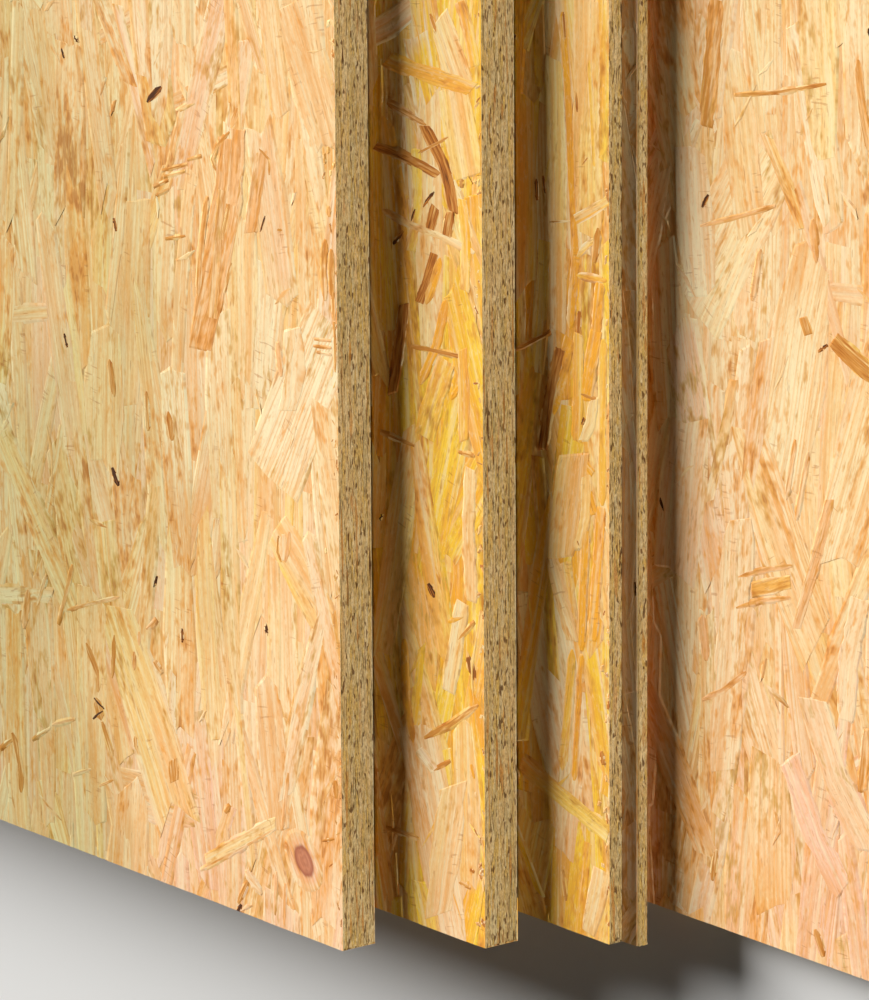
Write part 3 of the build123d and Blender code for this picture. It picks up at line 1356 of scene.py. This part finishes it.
# What the photograph shows on each face: tone, width in pixels, and pixels along its middle
TOP_FEATURES = [
    (PEACH, 27, [(231, 140), (227, 200), (215, 270), (200, 348)]),
    (APRICOT, 9, [(222, 190), (217, 254), (212, 318)]),
    (PEACH, 14, [(238, 130), (236, 165), (231, 205)]),
    (PEACH, 13, [(262, 152), (256, 190), (250, 232)]),
    (APRICOT, 6, [(237, 108), (231, 128)]),
    (TAWNY, 3, [(229, 132), (217, 146), (212, 159), (216, 170)]),
    (TAWNY, 2.5, [(259, 149), (269, 160), (269, 175)]),
    (APRICOT, 5, [(207, 197), (203, 226), (200, 254), (198, 296)]),
    (TAWNY, 4, [(229, 204), (222, 240)]),
    (TAWNY, 3, [(231, 263), (224, 292)]),
    (BLACKISH, 2.5, [(265, 216), (260, 232)]),
    (TAWNY, 5, [(277, 230), (282, 230)]),
    (BLACKISH, 8, [(147, 102), (153, 95), (161, 87)]),
    (TAWNY, 1.5, [(161, 171), (187, 164)]),
    (TAWNY, 1.5, [(163, 177), (185, 171)]),
    (TAWNY, 1.5, [(187, 160), (201, 156)]),
    (TAWNY, 1.5, [(153, 187), (168, 180)]),
    (TAWNY, 1.5, [(155, 196), (168, 190)]),
    (TAWNY, 1.5, [(165, 239), (185, 236)]),
    (APRICOT, 6, [(325, 240), (323, 272), (325, 300)]),
    (MILKY, 18, [(292, 330), (296, 372), (287, 410)]),
    (MILKY, 8, [(283, 535), (283, 560)]),
    (TAWNY, 2.5, [(278, 536), (277, 552), (281, 562)]),
    (PEACH, 4, [(289, 532), (288, 548), (285, 562)]),
    (PEACH, 3.5, [(72, 565), (67, 591), (58, 624)]),
    (PEACH, 3.5, [(46, 575), (37, 606)]),
    (PEACH, 3, [(67, 610), (90, 604), (119, 597)]),
    (TAWNY, 5, [(86, 643), (95, 666), (99, 676), (98, 692)]),
    (TAWNY, 4, [(114, 635), (113, 661), (112, 678)]),
    (PEACH, 4, [(134, 652), (134, 670)]),
    (PEACH, 4, [(139, 632), (139, 645)]),
    (TAWNY, 8, [(96, 698), (99, 710), (101, 720)]),
    (BLACKISH, 3, [(94, 698), (98, 703), (104, 709)]),
    (BLACKISH, 3, [(93, 719), (98, 714), (103, 711)]),
    (TAWNY, 4, [(102, 722), (107, 738), (113, 756)]),
    (PEACH, 7, [(146, 629), (152, 625), (156, 620)]),
    (TAWNY, 6, [(135, 736), (136, 749)]),
    (TAWNY, 9, [(173, 760), (174, 781)]),
    (PEACH, 3, [(52, 725), (75, 719)]),
    (PEACH, 3, [(32, 740), (50, 728)]),
    (PEACH, 3, [(73, 775), (91, 769)]),
    (PEACH, 3, [(99, 786), (113, 780)]),
    (TAWNY, 4, [(0, 749), (14, 738)]),
    (TAWNY, 5, [(12, 733), (17, 748), (21, 768), (21, 792)]),
    (PEACH, 3, [(288, 773), (284, 811), (282, 829)]),
    (PEACH, 3, [(285, 884), (284, 925)]),
    (PEACH, 3, [(276, 872), (275, 915)]),
    (TAWNY, 6, [(225, 812), (229, 806)]),
    (SOFT_GOLD, 13, [(206, 862), (238, 844), (275, 823)]),
    (PEACH, 2, [(200, 870), (238, 850), (275, 829)]),
    (MILKY, 6, [(246, 871), (261, 894)]),
    (TAWNY, 4, [(238, 903), (247, 882)]),
    (BLACKISH, 4, [(237, 913), (241, 905)]),
    (TAWNY, 3, [(322, 841), (334, 839)]),
    (TAWNY, 5, [(335, 781), (336, 798)]),
    (BLACKISH, 3.5, [(114, 219), (116, 231)]),
    (BLACKISH, 3, [(64, 334), (67, 347)]),
    (BLACKISH, 3, [(182, 629), (182, 642)]),
    (TAWNY, 6, [(154, 662), (161, 673)]),
    (BLACKISH, 4, [(112, 468), (118, 485)]),
    (TAWNY, 5, [(109, 360), (114, 396)]),
    (TAWNY, 6, [(168, 412), (172, 440)]),
    (TAWNY, 4, [(146, 392), (148, 430)]),
    (PEACH, 6, [(28, 590), (24, 628)]),
    (PEACH, 5, [(277, 343), (281, 376)]),
    (APRICOT, 5, [(331, 250), (331, 268), (332, 296)]),
    (TAWNY, 2, [(332, 268), (333, 284)]),
    (APRICOT, 3.5, [(333, 292), (334, 320)]),
    (TAWNY, 2, [(334, 322), (335, 346), (335, 372)]),
    (APRICOT, 4, [(328, 207), (329, 216)]),
    (PEACH, 1.5, [(314, 339), (331, 341)]),
    (PEACH, 1.5, [(313, 346), (331, 348)]),
    (PEACH, 1.5, [(316, 352), (331, 355)]),
]
SECOND_FEATURES = [
    (CREAMY, 26, [(440, 18), (450, 52), (462, 92)]),
    (YELLOW, 11, [(460, 2), (468, 30), (474, 66)]),
    (BUTTERY, 30, [(452, 88), (459, 128), (468, 176)]),
    (YELLOW, 10, [(416, 150), (418, 205), (410, 250)]),
    (SIENNA, 4, [(430, 14), (436, 32)]),
    (GOLD_STREAK, 15, [(388, 60), (430, 75), (472, 89)]),
    (SIENNA, 5, [(387, 102), (408, 114), (426, 125)]),
    (BROWN, 9, [(375, 146), (401, 155), (421, 165), (438, 175)]),
    (BROWN, 11, [(424, 126), (434, 146), (443, 164), (449, 186), (453, 211)]),
    (BROWN, 10, [(435, 207), (429, 232)]),
    (BROWN, 9, [(450, 213), (446, 238)]),
    (SOFT_GOLD, 6, [(382, 210), (406, 223), (442, 237), (474, 253)]),
    (SMOKY, 3.5, [(434, 192), (428, 199), (423, 207)]),
    (SIENNA, 2.5, [(448, 137), (436, 144), (418, 153)]),
    (SMOKY, 4, [(393, 244), (403, 231)]),
    (SMOKY, 3, [(411, 221), (415, 209)]),
    (BROWN, 9, [(434, 254), (427, 280), (419, 302)]),
    (ORANGE_STREAK, 8, [(440, 258), (433, 284), (426, 304)]),
    (GOLD_STREAK, 9, [(462, 200), (466, 245), (464, 290)]),
    (BROWN, 10, [(404, 305), (398, 350), (392, 392)]),
    (ORANGE_STREAK, 8, [(446, 300), (436, 345), (420, 384)]),
    (SIENNA, 4, [(410, 346), (436, 351), (462, 357)]),
    (YELLOW, 20, [(446, 362), (434, 398), (424, 436)]),
    (ORANGE_STREAK, 5, [(451, 399), (459, 386)]),
    (BROWN, 3, [(461, 373), (466, 380)]),
    (GOLD_STREAK, 10, [(462, 350), (464, 400), (463, 440)]),
    (SIENNA, 5, [(461, 180), (461, 186)]),
    (SIENNA, 2.5, [(380, 432), (398, 439), (414, 446)]),
    (SIENNA, 2.5, [(458, 452), (474, 456)]),
    (CREAMY, 11, [(470, 470), (468, 530), (471, 600)]),
    (RUSTY, 7, [(428, 584), (431, 590), (434, 597)]),
    (CREAMY, 14, [(462, 604), (456, 640), (448, 690)]),
    (SIENNA, 3, [(458, 640), (474, 622)]),
    (ORANGE_STREAK, 5, [(448, 622), (464, 617)]),
    (SIENNA, 5, [(424, 738), (450, 725), (478, 705)]),
    (SIENNA, 4, [(433, 770), (450, 761)]),
    (MILKY, 9, [(419, 750), (434, 770)]),
    (SOFT_GOLD, 27, [(453, 786), (446, 850), (438, 914)]),
    (ORANGE_STREAK, 5, [(471, 765), (474, 778)]),
    (SIENNA, 3, [(386, 828), (402, 833), (420, 839)]),
    (SIENNA, 2.5, [(459, 882), (470, 888)]),
    (BROWN, 4, [(470, 870), (474, 872)]),
    (ORANGE_STREAK, 6, [(404, 640), (406, 700), (413, 742)]),
]
FLOORING_FEATURES = [
    (BUTTERY, 17, [(553, 60), (557, 160), (558, 330)]),
    (BUTTERY, 30, [(589, 0), (588, 100), (587, 235)]),
    (GOLD_STREAK, 5, [(589, 60), (592, 120), (594, 167)]),
    (YELLOW, 9, [(603, 0), (604, 80), (603, 160)]),
    (ORANGE_STREAK, 7, [(562, 12), (567, 80), (570, 150), (573, 219), (575, 260), (570, 328)]),
    (BROWN, 3, [(563, 12), (565, 40)]),
    (BROWN, 2.5, [(576, 92), (577, 112)]),
    (GOLD_STREAK, 11, [(575, 220), (590, 212), (607, 201)]),
    (GOLD_STREAK, 6, [(577, 257), (586, 246), (599, 237)]),
    (GOLD_STREAK, 6, [(576, 275), (606, 281)]),
    (ORANGE_STREAK, 9, [(600, 284), (596, 332)]),
    (SIENNA, 7, [(598, 228), (594, 262)]),
    (BROWN, 5, [(579, 312), (578, 332)]),
    (SIENNA, 3, [(582, 165), (588, 157)]),
    (SMOKY, 3.5, [(536, 179), (537, 200)]),
    (SMOKY, 3, [(543, 176), (545, 193)]),
    (SIENNA, 2, [(549, 222), (570, 221)]),
    (SIENNA, 4, [(515, 350), (550, 332)]),
    (ORANGE_STREAK, 11, [(570, 340), (560, 378), (550, 410)]),
    (BROWN, 10, [(560, 350), (549, 400), (542, 448)]),
    (ORANGE_STREAK, 12, [(596, 332), (590, 370), (586, 400)]),
    (GOLD_STREAK, 9, [(578, 335), (578, 390), (577, 440)]),
    (SIENNA, 4, [(581, 394), (596, 400)]),
    (RUSTY, 3.5, [(581, 425), (584, 419)]),
    (CREAMY, 9, [(594, 400), (590, 425), (583, 440)]),
    (ORANGE_STREAK, 10, [(580, 458), (592, 474)]),
    (ORANGE_STREAK, 9, [(587, 492), (593, 514)]),
    (GOLD_STREAK, 7, [(603, 340), (602, 430), (602, 505)]),
    (BUTTERY, 26, [(574, 456), (567, 505), (560, 556)]),
    (BUTTERY, 10, [(586, 476), (585, 520), (578, 548)]),
    (ORANGE_STREAK, 9, [(601, 508), (598, 560), (592, 640)]),
    (ORANGE_STREAK, 7, [(586, 530), (583, 590), (581, 650)]),
    (BROWN, 2.5, [(577, 540), (579, 546)]),
    (SOFT_GOLD, 12, [(552, 560), (562, 600), (572, 640)]),
    (GOLD_STREAK, 8, [(572, 650), (568, 710), (562, 770)]),
    (ORANGE_STREAK, 5, [(581, 655), (577, 720), (574, 780)]),
    (OLIVE_STRAND, 15, [(522, 762), (566, 800), (608, 834)]),
    (SOFT_GOLD, 17, [(602, 872), (595, 905), (588, 932)]),
    (BROWN, 4, [(601, 752), (603, 764)]),
    (SIENNA, 3, [(562, 870), (566, 900)]),
]
BOTTOM_FEATURES = [
    (MILKY, 30, [(740, 520), (731, 640), (723, 770)]),
    (PEACH, 10, [(830, 500), (813, 570), (796, 628)]),
    (APRICOT, 15, [(716, 0), (712, 60), (706, 125)]),
    (TAWNY, 3, [(734, 95), (780, 92), (826, 84)]),
    (SMOKY, 5, [(702, 207), (705, 201), (708, 195)]),
    (SIENNA, 17, [(834, 340), (848, 354), (872, 376)]),
    (PEACH, 3, [(700, 226), (740, 216), (775, 206)]),
    (TAWNY, 9, [(803, 318), (808, 334)]),
    (SMOKY, 3, [(818, 352), (827, 345)]),
    (APRICOT, 8, [(858, 60), (862, 110), (869, 150)]),
    (PEACH, 6, [(812, 220), (816, 262)]),
    (PEACH, 4, [(795, 440), (786, 500)]),
    (PEACH, 4, [(808, 452), (796, 520)]),
    (PEACH, 4, [(738, 577), (760, 571), (792, 566)]),
    (PEACH, 4, [(736, 608), (764, 600), (790, 598)]),
    (AMBERY, 14, [(752, 590), (772, 586), (790, 582)]),
    (PEACH, 5, [(702, 700), (724, 690), (746, 672)]),
    (MILKY, 26, [(812, 700), (836, 780), (869, 850)]),
    (ROSY, 20, [(790, 760), (812, 830), (842, 890)]),
    (MILKY, 18, [(860, 600), (848, 660), (846, 720)]),
    (APRICOT, 9, [(868, 730), (862, 790)]),
    (TAWNY, 7, [(815, 930), (823, 956)]),
    (TAWNY, 5, [(716, 850), (712, 880)]),
    (PEACH, 8, [(702, 616), (706, 660)]),
    (PEACH, 5, [(760, 250), (752, 300)]),
]

PALE_LOOK = {"dark": 0.004, "orange": 0.15, "gold": 0.10, "gold_spread": 0.14}
GOLDEN_LOOK = {"dark": 0.004, "orange": 0.12, "gold": 0.86, "gold_spread": 0.36}
MILLED_LOOK = {"dark": 0.004, "orange": 0.05, "gold": 0.0, "gold_spread": 0.05}

make_camera()
make_stage()
materials = [face_material(), sawn_material()]
pieces = []

for node in (TOP, SECOND, FLOORING, BOTTOM):
    make_core(node, materials)

top_face = upper_face(TOP)
pieces += bands(TOP, top_face, "face", 8)
lay_face(top_face, PALE_LOOK, 11)
lay_specks(top_face, PALE_LOOK, 13)
lay_features(top_face, TOP_FEATURES, 12)
lay_knot(top_face, 14)

for node, cover, look, features, seed in (
    (SECOND, TOP, GOLDEN_LOOK, SECOND_FEATURES, 21),
    (FLOORING, SECOND, GOLDEN_LOOK, FLOORING_FEATURES, 31),
    (BOTTOM, FLOORING, PALE_LOOK, BOTTOM_FEATURES, 41),
):
    areas = open_above(node, cover)
    pieces.append(Piece(node + "_face", node, areas))
    lay_face(areas[0][0], look, seed)
    lay_specks(areas[0][0], look, seed + 2)
    lay_features(areas[0][0], features, seed + 1)

for node, support, look, seed in (
    (TOP, SECOND, PALE_LOOK, 52),
    (SECOND, FLOORING, GOLDEN_LOOK, 62),
    (FLOORING, BOTTOM, GOLDEN_LOOK, 72),
):
    areas = open_below(node, support)
    pieces.append(Piece(node + "_underside", node, areas))
    lay_face(areas[0][0], look, seed, pitch_scale=1.3, chips_each=0.1)

underside = under_face(BOTTOM)
pieces += bands(BOTTOM, underside, "underside", 2)
lay_face(underside, PALE_LOOK, 82, pitch_scale=1.6, chips_each=0.05)

for node, look, seed in (
    (TOP, PALE_LOOK, 101),
    (SECOND, GOLDEN_LOOK, 111),
    (BOTTOM, PALE_LOOK, 121),
):
    pieces.append(plain_edges(node, look, seed))
pieces.append(flooring_edges(GOLDEN_LOOK, 131))

for piece in pieces:
    piece.build(materials)
